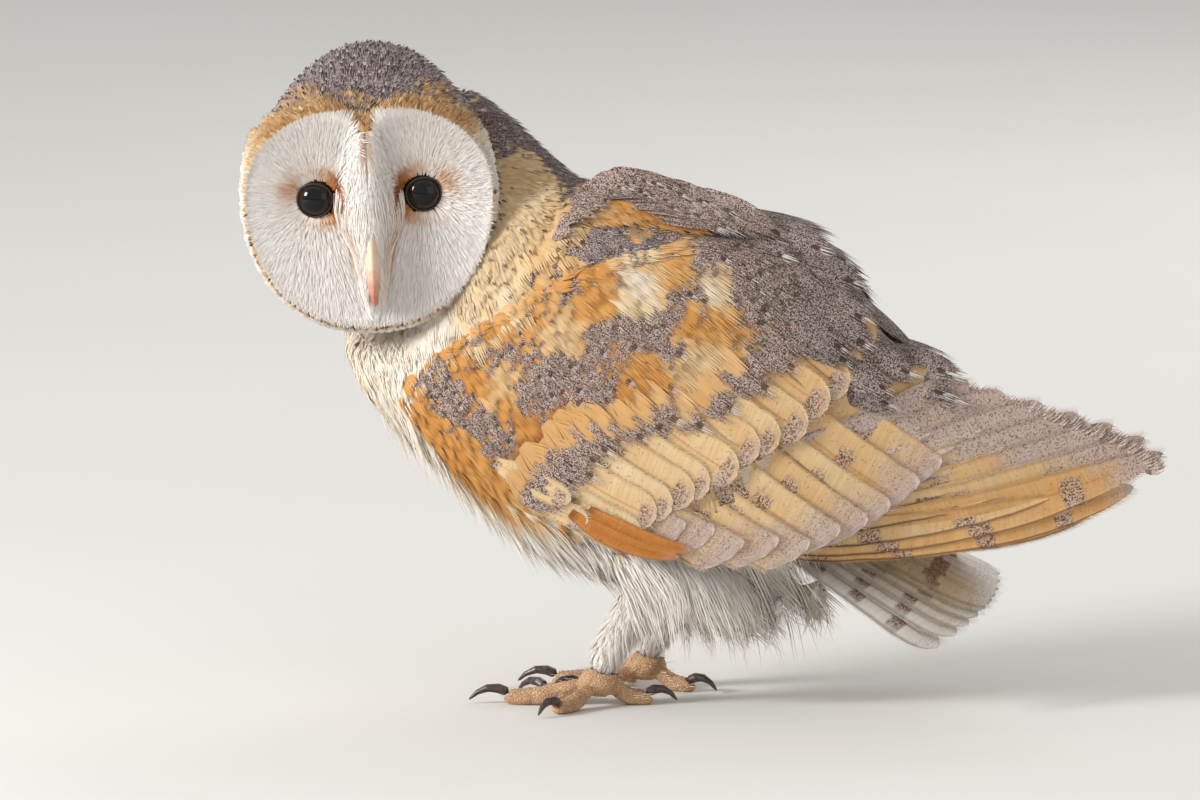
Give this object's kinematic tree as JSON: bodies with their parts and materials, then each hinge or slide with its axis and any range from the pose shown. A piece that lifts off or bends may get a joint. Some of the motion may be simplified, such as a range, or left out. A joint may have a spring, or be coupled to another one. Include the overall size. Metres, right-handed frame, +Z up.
{
  "type": "barn owl",
  "caption": "Life-size standing barn owl with folded wings, its heart-shaped face turned to its left, for display.",
  "frame": {"origin": "on the floor, under the middle of the whole bird's box", "axes": "+Z up, -X the way the bird's body faces, -Y its left side, towards which its face is turned"},
  "size_m": [0.348, 0.1152, 0.2549],
  "materials": {
    "face_feathers": "soft white hair-like feathers with a gold and brown rim",
    "neck_feathers": "cream to buff short feathers with small brown spots",
    "body_feathers": "soft white feathers with few dark spots, grey and gold on the back",
    "covert_feathers": "golden buff feathers with grey speckled tips and small black and white drops",
    "flight_feathers": "smooth buff vanes with grey-brown bars and pale fringes",
    "tail_feathers": "white and buff vanes with brown bars",
    "leg_feathers": "short white down",
    "toe_skin": "matt scaly skin with sparse bristles",
    "claw_horn": "smooth dark horn",
    "bill_horn": "smooth pale pink horn",
    "eye": "wet black-brown eye"
  },
  "bodies": {
    "root": {"head": "face_feathers", "bill_upper": "bill_horn", "bill_lower": "bill_horn", "eye_left": "eye", "eye_right": "eye", "neck": "neck_feathers", "trunk": "body_feathers", "tail": "tail_feathers", "wing_left": "covert_feathers", "secondaries_left": "flight_feathers", "primaries_left": "flight_feathers", "thigh_left": "leg_feathers", "tarsus_left": "leg_feathers", "foot_left": "toe_skin", "toe_inner_left": "toe_skin", "claw_inner_left": "claw_horn", "toe_middle_left": "toe_skin", "claw_middle_left": "claw_horn", "toe_outer_left": "toe_skin", "claw_outer_left": "claw_horn", "toe_hind_left": "toe_skin", "claw_hind_left": "claw_horn", "wing_right": "covert_feathers", "secondaries_right": "flight_feathers", "primaries_right": "flight_feathers", "thigh_right": "leg_feathers", "tarsus_right": "leg_feathers", "foot_right": "toe_skin", "toe_inner_right": "toe_skin", "claw_inner_right": "claw_horn", "toe_middle_right": "toe_skin", "claw_middle_right": "claw_horn", "toe_outer_right": "toe_skin", "claw_outer_right": "claw_horn", "toe_hind_right": "toe_skin", "claw_hind_right": "claw_horn"}
  },
  "joints": []
}
